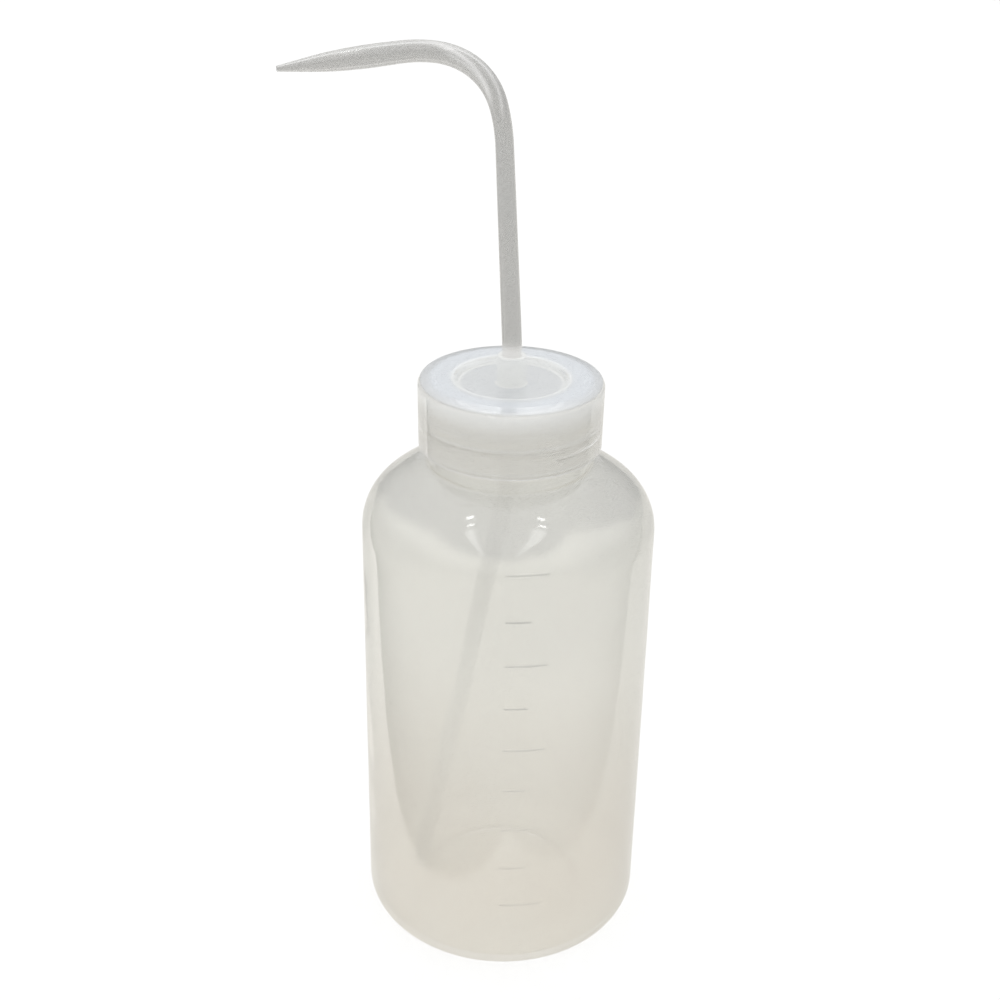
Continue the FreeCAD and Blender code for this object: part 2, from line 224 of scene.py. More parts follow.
def make_bottle():
    # the shoulder turns in on a small arc and runs up to the collar on a large one
    def arc(cr, cz, rad, a0, a1, n):
        return [(cr + rad * math.cos(math.radians(a0 + (a1 - a0) * k / n)),
                 cz + rad * math.sin(math.radians(a0 + (a1 - a0) * k / n)), 0) for k in range(n + 1)]
    small = arc(22.55, 116.0, 14.45, 0.0, 52.0, 12)
    large = arc(22.55 - 34.85 * math.cos(math.radians(52.0)), 116.0 - 34.85 * math.sin(math.radians(52.0)), 49.3, 52.0, 64.4, 8)
    out_pts = [
        (0.0, 2.2, 0), (19.2, 2.02, 1.6), (22.9, 0.0, 1.5), (37.0, 0.0, 7.7),
        *small, *large[1:], (20.6, 133.82, 1.0),
        (20.6, 137.6, 0.5), (19.4, 137.6, 0.3), (19.4, 152.9, 0.4), (17.5, 152.9, 0.3),
    ]
    in_pts = [
        (17.5, cone_z(17.5, 36.05, 123.794), 2.6), (36.05, 123.794, 13.5),
        (36.05, 1.2, 6.75), (23.1, 1.2, 1.8), (19.4, 3.2, 1.8), (0.0, 3.4, 0),
    ]
    def step(a, b):
        if a[0] < 20.0 and b[0] < 20.0 and a[1] > 137.5 and b[1] > 137.5 and abs(a[0] - 19.4) < 0.05:
            return 0.13                       # threads
        return 2.4 if a[0] > 30 else 1.6
    prof = rounded(out_pts + in_pts, step=step, arc_deg=4.0)
    # the last point of the outside is the one before the bore starts
    split = next(i for i, p in enumerate(prof) if abs(p[0] - 17.5) < 1e-6)
    # rings for the volume lines
    extra = []
    for z, _ in MARKS:
        for d in (-0.40, -0.30, -0.19, 0.19, 0.30, 0.40):
            extra.append(z + d)
    outer = list(map(tuple, prof[:split]))
    wall = [i for i, p in enumerate(outer) if p[1] > 8 and p[0] > 34.0]
    lo, hi = wall[0], wall[-1]
    zs = [p[1] for p in outer[lo:hi + 1]]
    rs = [p[0] for p in outer[lo:hi + 1]]
    special = [z for z in extra if zs[0] < z < zs[-1]]
    allz = [z for z in zs if not any(abs(z - e) < 0.30 for e in special)] + special
    allz = sorted(allz)
    centre_r = 37.0 - 14.45
    def r_at(z):
        if z > 116.0:
            return centre_r + math.sqrt(14.45 ** 2 - (z - 116.0) ** 2)
        return float(np.interp(z, zs, rs))
    outer = outer[:lo] + [(r_at(z), z) for z in allz] + outer[hi + 1:]
    n_out = len(outer)
    profile = outer + list(map(tuple, prof[split:]))
    thetas = bottle_thetas()

    def move(r, z, th, i):
        if i < n_out:
            z0, r0 = z[0], r[0]
            if r0 > 30 or z0 < 134:
                amp = 0.055 * smooth01((z0 - 1.0) / 12.0) * smooth01((r0 - 21.0) / 4.0)
                if amp > 0:
                    r = r + amp * ripple(th, z, r0, 21.0, 3.7)
            # parting line of the mould, at both sides
            if z0 > 3 and z0 < 134.0:
                for seam in (0.0, math.pi):
                    d = np.abs((th - seam + math.pi) % (2 * math.pi) - math.pi) * r0
                    r = r + 0.035 * np.clip(1 - d / 0.32, 0, 1)
            if z0 > 8 and r0 > 34:
                for mz, length in MARKS:
                    if abs(z0 - mz) < 0.21:
                        rel = (th - MARK_T0 + math.pi) % (2 * math.pi) - math.pi
                        on = (rel > 0) & (rel < length / BODY_R)
                        r = r + MARK_H * on
            if z0 > 138.2 and abs(r0 - 19.4) < 0.02:
                r = r + helix_height(th, z, 200.0, 141.9, 2.25, PITCH, 1.05, 0.79, 0.35)
        else:
            z0, r0 = z[0], r[0]
            if r0 > 20 and z0 > 2:
                amp = 0.11 * smooth01((z0 - 1.0) / 8.0) * smooth01((r0 - 20.0) / 6.0)
                r = r + amp * ripple(th, z, r0, 26.0, 11.2) - 0.02
        return r, z

    def side(z, th):
        # painted shade: the upper body is darkened towards one side
        return 0.11 * float(smooth01((z - 84.0) / 20.0)) * smooth01((np.cos(th + 0.45) + 0.30) / 0.9)

    def ridge(r, z, th, i):
        # painted shade: the underside of a volume line is darkened, its top less so
        if z > 114 and len(th) > 1:
            # painted shade: the shoulder is darker than the wall, more so towards the sides along X; the border wanders
            wander = ripple(th, np.full(len(th), 0.0), 37.0, 16.0, 5.1)
            edge_z = 122.6 + 1.0 * (1 - np.cos(4 * (th + math.pi / 2))) + 2.2 * wander
            base = 0.46 * smooth01((z - edge_z) / 3.4)
            low = side(z, th) + 0.13 * float(smooth01((z - 115.5) / 4.0)) * smooth01((np.abs(np.cos(th)) - 0.3) / 0.4)
            flank = 0.12 * smooth01((np.cos(th) - 0.5) / 0.4) + 0.05 * smooth01((-np.cos(th) - 0.5) / 0.4)
            base = np.maximum(base + flank * float(smooth01((z - 122.0) / 4.0)), low) * float(smooth01((134.6 - z) / 1.2))
            # painted shade on the neck under the cap
            base = np.maximum(base, 0.2 * float(smooth01((z - 133.8) / 0.8)))
        elif z > 114:
            base = 0.48 if z < 134 else 0.2
        else:
            base = side(z, th)
        if i >= n_out or r < 34 or z < 8:
            return base
        for k, (mz, length) in enumerate(MARKS):
            d = z - mz
            if abs(d) < 0.33:
                rel = (th - MARK_T0 + math.pi) % (2 * math.pi) - math.pi
                on = (rel > -0.002) & (rel < length / BODY_R + 0.002)
                return base + on * MARK_SHADE[k] * (1.0 if d < -0.1 else 0.55 if d < 0.22 else 0.0)
        return base

    def height(r, z, th, i):
        return float(smooth01((z - 25.0) / 80.0))

    def collar(r, z, th, i):
        # the top edge of the collar catches the light
        return 0.9 * math.exp(-((z - 137.5) / 0.28) ** 2) if 19.5 < r < 21.5 and i < n_out else 0.0

    return lathe("bottle_shell", profile, thetas, move, marks={"dark": ridge, "tone": height, "light": collar})


# --------------------------------------------------------------------------------------
# screw cap
# --------------------------------------------------------------------------------------


def make_cap():
    pts = [
        (21.15, 138.5, 0.3), (22.65, 138.5, 0.35), (22.8, 154.3, 0.45), (22.42, 154.75, 0.35),
        (22.3, 155.4, 0.55), (19.3, 155.9, 0.9), (14.1, 155.9, 0.5), (12.9, 154.35, 0.5),
        (3.6, 154.35, 0.15), (3.6, 161.5, 0.4), (2.45, 161.5, 0.15), (2.45, 152.3, 0.15),
        (14.2, 152.3, 0.3), (14.75, 154.05, 0.2), (20.9, 154.05, 0.3), (20.9, 144.55, 0.12), (21.15, 144.2, 0.12),
    ]
    def step(a, b):
        if abs(a[0] - 20.9) < 0.02 and abs(b[0] - 20.9) < 0.02:
            return 0.14
        if a[0] > 22.5 and b[0] > 22.5:
            return 0.22
        if abs(a[1] - 154.35) < 0.02 and abs(b[1] - 154.35) < 0.02:
            return 0.3
        return 0.8
    profile = rounded(pts, closed=True, step=step, arc_deg=7.0)
    thetas = np.arange(288) * 2 * math.pi / 288

    def move(r, z, th, i):
        r0, z0 = r[0], z[0]
        if r0 < 21.2 and r0 > 20.85 and 139.2 < z0 < 153.5:
            r = r - helix_height(th, z, 290.0, 141.9 - 1.06 + PITCH * 0.25, 2.0, PITCH, 1.05, 0.79, 0.35)
        return r, z

    def dense(r, z, th, i):
        # the crown and the boss are thicker, and so milkier, than the skirt
        crown = float(smooth01((z - 148.6) / 3.4))
        boss = 1.2 * float(smooth01((7.5 - r) / 3.0)) if z > 153 else 0.0
        return max(crown, boss)

    def tone(r, z, th, i):
        # cool where the crown faces the sky
        if r > 20.5:
            return float(smooth01((z - 154.7) / 0.9))
        return float(smooth01((z - 153.7) / 0.4)) * float(smooth01((r - 3.7) / 0.3))

    def light(r, z, th, i):
        # the corner of the recess, the boss, the bevel and the band under the crown gather light
        lip = 0.85 * float(smooth01((r - 12.0) / 1.0) * smooth01((15.3 - r) / 1.2)) if z > 154.2 else 0.0
        boss = float(smooth01((3.9 - r) / 0.3)) if z > 153.9 else 0.0
        band = ring = 0.0
        if r > 21.6:
            band = 0.66 * float(smooth01((z - 145.8) / 8.0)) * float(smooth01((155.85 - z) / 0.8))
            band = band * (1.0 - float(smooth01((z - 154.2) / 0.5)) * (0.3 + 0.5 * np.abs(np.cos(th))))
            # painted light: two thin bright lines round the skirt
            ring = 0.75 * math.exp(-((z - 146.1) / 0.33) ** 2) + 0.8 * math.exp(-((z - 139.9) / 0.26) ** 2)
        return np.minimum(1.0, np.maximum(max(lip, boss, ring), band))

    def dark(r, z, th, i):
        # shade under the small steps in the skirt
        if r < 21.4 and 144.1 < z < 144.65:
            return 0.4
        # painted shade: two dark lines round the skirt, more shade towards its foot and towards +X
        if r > 21.6 and z < 154.5:
            lines = 0.30 * math.exp(-((z - 145.3) / 0.35) ** 2) + 0.25 * math.exp(-((z - 139.3) / 0.25) ** 2)
            return lines + 0.08 * float(smooth01((147.0 - z) / 4.0)) + 0.18 * smooth01((np.cos(th) + 0.1) / 0.9)
        # painted shade at the sides of the crown bevel, towards +X and -X
        if z > 153.5 and 19.4 < r < 22.4:
            return 0.20 * np.abs(np.cos(th)) * float(smooth01((r - 19.4) / 0.5))
        return 0.0

    return lathe("cap_shell", profile, thetas, move, closed=True,
                 marks={"dense": dense, "tone": tone, "light": light, "dark": dark})


def make_seal():
    pts = [(14.95, 152.93, 0.18), (20.3, 152.93, 0.18), (20.3, 154.02, 0.18), (14.95, 154.02, 0.18)]
    profile = rounded(pts, closed=True, step=0.7, arc_deg=18.0)
    thetas = np.arange(160) * 2 * math.pi / 160
    return lathe("seal_ring", profile, thetas, None, closed=True)


# --------------------------------------------------------------------------------------
# delivery tube: dip leg, upright, bend, spout and jet in one length
# --------------------------------------------------------------------------------------


def tube_line(ds=0.35):
    """Centre line from the foot of the dip leg to the tip, as (x, z, heading) at even spacing."""
    tilt, bend_r, bend_z = 10.9, 40.0, 130.7
    foot_dx = bend_r * (1 - math.cos(math.radians(tilt)))
    foot_dz = bend_r * math.sin(math.radians(tilt))
    top = np.array([-foot_dx, bend_z - foot_dz])
    leg = (top[1] - 6.5) / math.cos(math.radians(tilt))
    head = lambda deg: np.array([-math.sin(math.radians(deg)), math.cos(math.radians(deg))])
    here, deg = top - head(-tilt) * leg, -tilt
    steps = [("run", leg), ("arc", bend_r, tilt), ("run", 161.6 - bend_z), ("arc", 80.0, 3.2), ("run", 45.9)]
    steps += [("arc", r, a) for r, a in ((42.0, 12.8), (15.2, 49.4), (17.9, 18.9), (31.5, 14.3))]
    steps += [("run", 27.7)]
    pts, heads, s_at = [here], [deg], [0.0]
    s_total = 0.0
    for st in steps:
        if st[0] == "run":
            n = max(2, int(round(st[1] / ds)))
            for j in range(1, n + 1):
                pts.append(here + head(deg) * st[1] * j / n)
                heads.append(deg)
                s_at.append(s_total + st[1] * j / n)
            here = pts[-1]
            s_total += st[1]
        else:
            r, turn = st[1], st[2]
            a = math.radians(deg)
            c = here + r * np.array([-math.cos(a), -math.sin(a)])
            length = r * math.radians(turn)
            n = max(3, int(round(length / ds)))
            for j in range(1, n + 1):
                w = a + math.radians(turn) * j / n
                pts.append(c + r * np.array([math.cos(w), math.sin(w)]))
                heads.append(deg + turn * j / n)
                s_at.append(s_total + length * j / n)
            here = pts[-1]
            deg += turn
            s_total += length
    return np.array(pts), np.array(heads), np.array(s_at)


def make_tube():
    pts, heads, s = tube_line()
    total = s[-1]
    # a heat-formed bend has no sudden change of curvature
    def soften(v, sigma):
        k = np.exp(-0.5 * (np.arange(-12, 13) * 0.35 / sigma) ** 2)
        k /= k.sum()
        pad = np.concatenate([2 * v[0] - v[12:0:-1], v, 2 * v[-1] - v[-2:-14:-1]])
        return np.convolve(pad, k, "valid")
    xs, zs, hs = soften(pts[:, 0], 1.3), soften(pts[:, 1], 1.3), soften(heads, 1.3)
    # radius in the plane of the bend and across it, along the tube from the tip
    u = total - s
    knots = [0.0, 1.5, 4.2, 6.9, 9.6, 12.3, 15.0, 17.7, 20.4, 24.0, 28.0, 36.0, 44.0, 48.0, 52.0, 57.0, 61.0, 66.0, 78.0, 96.0, 106.0, 112.0, 300.0]
    r_in = [0.64, 0.84, 1.22, 1.60, 1.93, 2.20, 2.37, 2.49, 2.56, 2.53, 2.45, 2.38, 2.38, 2.34, 2.25, 2.14, 2.12, 2.13, 2.22, 2.32, 2.38, 2.40, 2.40]
    r_ac = [0.64, 0.84, 1.22, 1.60, 1.93, 2.20, 2.36, 2.45, 2.46, 2.44, 2.44, 2.46, 2.50, 2.50, 2.46, 2.38, 2.32, 2.28, 2.28, 2.34, 2.38, 2.40, 2.40]
    wall = [0.27, 0.34, 0.46, 0.56, 0.64, 0.70, 0.75, 0.78, 0.80, 0.80, 0.80, 0.80, 0.80, 0.80, 0.80, 0.80, 0.80, 0.80, 0.80, 0.80, 0.80, 0.80, 0.80]
    def along(v):
        g = np.interp(u, knots, v)
        return np.maximum(soften(g, 1.8), 0.05)
    a_in, a_ac, w = along(r_in), along(r_ac), along(wall)
    m = 40
    phi = np.arange(m) * 2 * math.pi / m
    verts = []
    n = len(xs)
    for shell in (0, 1):
        for i in range(n):
            h = math.radians(hs[i])
            nx, nz = -math.cos(h), -math.sin(h)
            ra, rb = a_in[i] - shell * w[i], a_ac[i] - shell * w[i]
            ca, sb = ra * np.cos(phi), rb * np.sin(phi)
            verts.extend(zip(xs[i] + ca * nx, sb, zs[i] + ca * nz))
    verts = np.array(verts)
    quads = []
    for i in range(n - 1):
        for j in range(m):
            a, b = i * m + j, i * m + (j + 1) % m
            c, d = a + m, b + m
            quads.append((a, c, d, b))
            o = n * m
            quads.append((o + a, o + b, o + d, o + c))
    for i in (0, n - 1):
        for j in range(m):
            a, b = i * m + j, i * m + (j + 1) % m
            o = n * m
            quads.append((a, b, o + b, o + a) if i == 0 else (a, o + a, o + b, b))
    ob = mesh_object("tube_body", verts, quads)
    # the plastic is whitened where it was bent, in streaks, and where the boss grips it
    blush = np.zeros((2, n, m), dtype=np.float32)
    streaks = ((33.0, 54.0, 1.10, 1.74, 0.085, 1.0), (37.0, 50.0, 1.42, 1.66, 0.05, 0.7), (44.0, 57.0, 1.16, 1.42, 0.045, 0.8))
    for i in range(n):
        grip = float(smooth01((zs[i] - 160.2) / 0.8) * smooth01((165.8 - zs[i]) / 3.2)) if u[i] < 150 else 0.0
        for j in range(m):
            b = 0.0
            for u0, u1, p0, p1, width, power in streaks:
                t = (u[i] - u0) / (u1 - u0)
                if -0.1 < t < 1.1:
                    d = abs(phi[j] / math.pi - (p0 + (p1 - p0) * t))
                    b = max(b, power * math.exp(-(d / width) ** 2) * float(smooth01((t + 0.1) / 0.3) * smooth01((1.1 - t) / 0.3)))
            blush[:, i, j] = min(1.0, b + grip)
    at = ob.data.attributes.new("dense", "FLOAT", "POINT")
    at.data.foreach_set("value", blush.ravel())
    at = ob.data.attributes.new("tone", "FLOAT", "POINT")
    at.data.foreach_set("value", blush.ravel())
    # painted light: the dip leg inside the bottle is made lighter, the more so the lower it runs
    leg = smooth01((150.0 - zs) / 4.0) * (0.42 + 0.58 * smooth01((112.0 - zs) / 80.0)) * (u > 60)
    leg = np.repeat(leg[None, :, None], 2, axis=0) * np.ones((1, 1, m))
    at = ob.data.attributes.new("light", "FLOAT", "POINT")
    at.data.foreach_set("value", leg.astype(np.float32).ravel())
    return ob


# --------------------------------------------------------------------------------------
# materials
# --------------------------------------------------------------------------------------


def new_material(name):
    m = bpy.data.materials.new(name)
    m.use_nodes = True
    nt = m.node_tree
    nt.nodes.clear()
    return m, nt


def node(nt, kind, **inputs):
    n = nt.nodes.new(kind)
    for k, v in inputs.items():
        if hasattr(n, k) and k not in n.inputs:
            setattr(n, k, v)
    return n


def setin(n, name, value):
    n.inputs[name].default_value = value


def plastic(name, colour, warm, milk, forward, rough_gloss, rough_through, tint, absorb, density,
            soft_light=(0.9, 0.9, 0.9), seed=0.0, cloud=45.0, cloud_amount=0.10, grain=0.0, uneven=0.0,
            ior=1.5, edge=0.0, dense_milk=0.0, tone_colour=None, light_colour=None, dark_colour=None, rim=None):
    """Translucent polyolefin.

    Part of the light goes straight through (refraction), part is scattered on and back by the
    milky plastic, and the skin reflects by Fresnel. The thickness of the wall tints what passes.
    Light that is already scattered passes the wall unbent, as it does on average in a thin milky wall.
    """
    m, nt = new_material(name)
    N, L = nt.nodes, nt.links
    out = N.new("ShaderNodeOutputMaterial")
    tc = N.new("ShaderNodeTexCoord")
    mp = N.new("ShaderNodeMapping")
    setin(mp, "Location", (seed, seed * 0.3, -seed))
    L.new(tc.outputs["Object"], mp.inputs["Vector"])
    # slow cloudiness of the melt
    n1 = N.new("ShaderNodeTexNoise")
    setin(n1, "Scale", cloud); setin(n1, "Detail", 2.0); setin(n1, "Roughness", 0.5)
    L.new(mp.outputs["Vector"], n1.inputs["Vector"])
    # fine grain of the skin
    n2 = N.new("ShaderNodeTexNoise")
    setin(n2, "Scale", 1400.0); setin(n2, "Detail", 2.0); setin(n2, "Roughness", 0.6)
    L.new(mp.outputs["Vector"], n2.inputs["Vector"])
    # faint rubbing marks, drawn out along the wall
    mp3 = N.new("ShaderNodeMapping")
    setin(mp3, "Scale", (1.0, 1.0, 0.45)); setin(mp3, "Rotation", (0.6, 0.4, 0.2))
    L.new(mp.outputs["Vector"], mp3.inputs["Vector"])
    n3 = N.new("ShaderNodeTexNoise")
    setin(n3, "Scale", 420.0); setin(n3, "Detail", 3.0); setin(n3, "Roughness", 0.7)
    L.new(mp3.outputs["Vector"], n3.inputs["Vector"])
    scuff = N.new("ShaderNodeMapRange")
    setin(scuff, "From Min", 0.58); setin(scuff, "From Max", 0.74)
    L.new(n3.outputs["Fac"], scuff.inputs["Value"])
    slow = N.new("ShaderNodeMapRange")
    setin(slow, "From Min", 0.3); setin(slow, "From Max", 0.7)
    L.new(n1.outputs["Fac"], slow.inputs["Value"])
    col = N.new("ShaderNodeMix"); col.data_type = "RGBA"
    L.new(slow.outputs["Result"], col.inputs["Factor"])
    col.inputs[6].default_value = (*colour, 1)
    col.inputs[7].default_value = (*warm, 1)
    rg = N.new("ShaderNodeMapRange")
    setin(rg, "To Min", rough_gloss); setin(rg, "To Max", rough_gloss * 1.9)
    L.new(scuff.outputs["Result"], rg.inputs["Value"])
    # bump: slow unevenness plus grain
    hgt = N.new("ShaderNodeMath"); hgt.operation = "MULTIPLY"
    L.new(n1.outputs["Fac"], hgt.inputs[0]); hgt.inputs[1].default_value = uneven
    hg2 = N.new("ShaderNodeMath"); hg2.operation = "MULTIPLY_ADD"
    L.new(n2.outputs["Fac"], hg2.inputs[0]); hg2.inputs[1].default_value = grain
    L.new(hgt.outputs[0], hg2.inputs[2])
    bp = N.new("ShaderNodeBump")
    setin(bp, "Strength", 1.0); setin(bp, "Distance", MM)
    L.new(hg2.outputs[0], bp.inputs["Height"])
    clear = N.new("ShaderNodeBsdfRefraction")
    clear.inputs["Color"].default_value = (*tint, 1)
    setin(clear, "Roughness", rough_through); setin(clear, "IOR", ior)
    L.new(bp.outputs["Normal"], clear.inputs["Normal"])
    if rim:
        # less comes straight through where the wall is seen edge-on
        lw = N.new("ShaderNodeLayerWeight")
        setin(lw, "Blend", 0.5)
        sq = N.new("ShaderNodeMath"); sq.operation = "POWER"
        L.new(lw.outputs["Facing"], sq.inputs[0]); sq.inputs[1].default_value = 2.0
        rc = N.new("ShaderNodeMix"); rc.data_type = "RGBA"
        L.new(sq.outputs[0], rc.inputs["Factor"])
        rc.inputs[6].default_value = (*tint, 1)
        rc.inputs[7].default_value = (*rim, 1)
        L.new(rc.outputs[2], clear.inputs["Color"])
    trans = N.new("ShaderNodeBsdfTranslucent")
    L.new(col.outputs[2], trans.inputs["Color"])
    dull = N.new("ShaderNodeBsdfDiffuse")
    L.new(col.outputs[2], dull.inputs["Color"])
    body = N.new("ShaderNodeMixShader")
    setin(body, "Fac", forward)
    L.new(dull.outputs["BSDF"], body.inputs[1])
    L.new(trans.outputs["BSDF"], body.inputs[2])
    mk = N.new("ShaderNodeMapRange")
    setin(mk, "To Min", milk * (1 - cloud_amount)); setin(mk, "To Max", milk * (1 + cloud_amount))
    L.new(slow.outputs["Result"], mk.inputs["Value"])
    mk2 = N.new("ShaderNodeMath"); mk2.operation = "MULTIPLY_ADD"
    L.new(scuff.outputs["Result"], mk2.inputs[0]); mk2.inputs[1].default_value = 0.012
    L.new(mk.outputs["Result"], mk2.inputs[2])
    milk_out = mk2.outputs[0]
    body_col = col.outputs[2]

    def attribute(key):
        at = N.new("ShaderNodeAttribute"); at.attribute_name = key
        return at.outputs["Fac"]

    def add_milk(factor, amount, milk_now):
        n = N.new("ShaderNodeMath"); n.operation = "MULTIPLY_ADD"
        L.new(factor, n.inputs[0]); n.inputs[1].default_value = amount
        L.new(milk_now, n.inputs[2])
        return n.outputs[0]

    def blend_colour(factor, now, then):
        n = N.new("ShaderNodeMix"); n.data_type = "RGBA"
        L.new(factor, n.inputs["Factor"])
        L.new(now, n.inputs[6])
        n.inputs[7].default_value = (*then, 1)
        return n.outputs[2]

    if dense_milk:
        milk_out = add_milk(attribute("dense"), dense_milk, milk_out)
    if tone_colour:
        body_col = blend_colour(attribute("tone"), body_col, tone_colour)
    if light_colour:
        body_col = blend_colour(attribute("light"), body_col, light_colour)
    if dark_colour:
        dark = attribute("dark")
        body_col = blend_colour(dark, body_col, dark_colour)
        milk_out = add_milk(dark, 0.5, milk_out)
    for sh in (trans, dull):
        L.new(body_col, sh.inputs["Color"])
    if edge > 0:
        # seen edge-on, the wall is deeper and so milkier
        lw = N.new("ShaderNodeLayerWeight")
        setin(lw, "Blend", 0.5)
        pw = N.new("ShaderNodeMath"); pw.operation = "POWER"
        L.new(lw.outputs["Facing"], pw.inputs[0]); pw.inputs[1].default_value = 3.0
        ed = N.new("ShaderNodeMath"); ed.operation = "MULTIPLY_ADD"
        L.new(pw.outputs[0], ed.inputs[0]); ed.inputs[1].default_value = edge
        L.new(milk_out, ed.inputs[2])
        milk_out = ed.outputs[0]
    under = N.new("ShaderNodeMixShader")
    L.new(milk_out, under.inputs["Fac"])
    L.new(clear.outputs["BSDF"], under.inputs[1])
    L.new(body.outputs["Shader"], under.inputs[2])
    gloss = N.new("ShaderNodeBsdfGlossy")
    gloss.inputs["Color"].default_value = (1, 1, 1, 1)
    L.new(rg.outputs["Result"], gloss.inputs["Roughness"])
    L.new(bp.outputs["Normal"], gloss.inputs["Normal"])
    fr = N.new("ShaderNodeFresnel")
    setin(fr, "IOR", ior)
    L.new(bp.outputs["Normal"], fr.inputs["Normal"])
    top = N.new("ShaderNodeMixShader")
    L.new(fr.outputs["Fac"], top.inputs["Fac"])
    L.new(under.outputs["Shader"], top.inputs[1])
    L.new(gloss.outputs["BSDF"], top.inputs[2])
    lp = N.new("ShaderNodeLightPath")
    scattered = N.new("ShaderNodeMath"); scattered.operation = "MAXIMUM"
    L.new(lp.outputs["Is Shadow Ray"], scattered.inputs[0])
    L.new(lp.outputs["Is Diffuse Ray"], scattered.inputs[1])
    deep = N.new("ShaderNodeMath"); deep.operation = "GREATER_THAN"
    L.new(lp.outputs["Ray Depth"], deep.inputs[0]); deep.inputs[1].default_value = 7.5
    any_ = N.new("ShaderNodeMath"); any_.operation = "MAXIMUM"
    L.new(scattered.outputs[0], any_.inputs[0]); L.new(deep.outputs[0], any_.inputs[1])
    scattered = any_
    unbent = N.new("ShaderNodeBsdfTransparent")
    unbent.inputs["Color"].default_value = (*soft_light, 1)
    both = N.new("ShaderNodeMixShader")
    L.new(scattered.outputs[0], both.inputs["Fac"])
    L.new(top.outputs["Shader"], both.inputs[1])
    L.new(unbent.outputs["BSDF"], both.inputs[2])
    L.new(both.outputs["Shader"], out.inputs["Surface"])
    if density > 0:
        va = N.new("ShaderNodeVolumeAbsorption")
        va.inputs["Color"].default_value = (*absorb, 1)
        setin(va, "Density", density)
        L.new(va.outputs["Volume"], out.inputs["Volume"])
    return m


def foam(name):
    m, nt = new_material(name)
    N, L = nt.nodes, nt.links
    out = N.new("ShaderNodeOutputMaterial")
    tc = N.new("ShaderNodeTexCoord")
    vo = N.new("ShaderNodeTexVoronoi")
    setin(vo, "Scale", 2600.0)
    L.new(tc.outputs["Object"], vo.inputs["Vector"])
    n1 = N.new("ShaderNodeTexNoise")
    setin(n1, "Scale", 260.0)
    L.new(tc.outputs["Object"], n1.inputs["Vector"])
    col = N.new("ShaderNodeMix"); col.data_type = "RGBA"
    L.new(n1.outputs["Fac"], col.inputs["Factor"])
    col.inputs["A"].default_value = (0.80, 0.80, 0.79, 1)
    col.inputs["B"].default_value = (0.90, 0.90, 0.89, 1)
    bp = N.new("ShaderNodeBump")
    setin(bp, "Strength", 0.6); setin(bp, "Distance", 0.04 * MM)
    L.new(vo.outputs["Distance"], bp.inputs["Height"])
    p = N.new("ShaderNodeBsdfPrincipled")
    L.new(col.outputs["Result"], p.inputs["Base Color"])
    L.new(bp.outputs["Normal"], p.inputs["Normal"])
    setin(p, "Roughness", 0.62)
    setin(p, "Subsurface Weight", 0.25)
    p.inputs["Subsurface Radius"].default_value = (0.002, 0.002, 0.002)
    setin(p, "Subsurface Scale", 1.0)
    L.new(p.outputs["BSDF"], out.inputs["Surface"])
    return m


def pale_floor(name, shade, lift):
    """Plain paper; part of its light is its own, so that shadows on it stay faint."""
    m, nt = new_material(name)
    N, L = nt.nodes, nt.links
    out = N.new("ShaderNodeOutputMaterial")
    df = N.new("ShaderNodeBsdfDiffuse")
    df.inputs["Color"].default_value = (shade, shade, shade, 1)
    em = N.new("ShaderNodeEmission")
    em.inputs["Color"].default_value = (1, 1, 1, 1)
    setin(em, "Strength", lift)
    add = N.new("ShaderNodeAddShader")
    L.new(df.outputs["BSDF"], add.inputs[0])
    L.new(em.outputs["Emission"], add.inputs[1])
    L.new(add.outputs["Shader"], out.inputs["Surface"])
    return m


# --------------------------------------------------------------------------------------
# the pieces
# --------------------------------------------------------------------------------------
bottle = make_bottle()
bottle.data.materials.append(plastic(
    "ldpe_bottle", (0.765, 0.74, 0.685), (0.775, 0.74, 0.68), milk=0.36, forward=0.55, rough_gloss=0.055,
    rough_through=0.045, tint=(0.993, 0.990, 0.979), absorb=(0.55, 0.5, 0.40), density=8.0, rim=(0.74, 0.74, 0.73),
    soft_light=(0.955, 0.95, 0.935), seed=0.013, tone_colour=(0.94, 0.95, 0.923),
    light_colour=(0.95, 0.94, 0.92), dark_colour=(0.38, 0.385, 0.39)))
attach(bottle, "bottle_body"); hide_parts("bottle")

cap = make_cap()
cap.data.materials.append(plastic(
    "pp_cap", (0.85, 0.85, 0.832), (0.86, 0.855, 0.835), milk=0.35, forward=0.5, rough_gloss=0.06,
    rough_through=0.06, tint=(0.985, 0.986, 0.985), absorb=(0.5, 0.5, 0.48), density=6.0,
    soft_light=(0.97, 0.97, 0.966), seed=0.05, dense_milk=0.42, tone_colour=(0.640, 0.672, 0.718),
    light_colour=(0.945, 0.97, 0.99), dark_colour=(0.45, 0.44, 0.42)))
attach(cap, "cap"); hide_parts("screw_cap")

seal = make_seal()
seal.data.materials.append(foam("pe_foam"))
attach(seal, "seal_ring"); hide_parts("cap_seal")

tube = make_tube()
tube.data.materials.append(plastic(
    "ldpe_tube", (0.612, 0.617, 0.614), (0.632, 0.627, 0.618), milk=0.40, forward=0.5, rough_gloss=0.10,
    rough_through=0.08, tint=(0.96, 0.96, 0.958), absorb=(0.4, 0.4, 0.39), density=40.0,
    soft_light=(0.955, 0.955, 0.95), seed=0.09, edge=0.45, dense_milk=0.55, tone_colour=(0.93, 0.93, 0.935),
    light_colour=(0.93, 0.92, 0.895)))
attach(tube, "tube"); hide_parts("delivery_tube")

# --------------------------------------------------------------------------------------
# floor, light, camera
# --------------------------------------------------------------------------------------


def plane(name, verts, material):
    me = bpy.data.meshes.new(name)
    me.from_pydata(verts, [], [tuple(range(len(verts)))])
    ob = bpy.data.objects.new(name, me)
    bpy.context.scene.collection.objects.link(ob)
    if material:
        me.materials.append(material)
    return ob


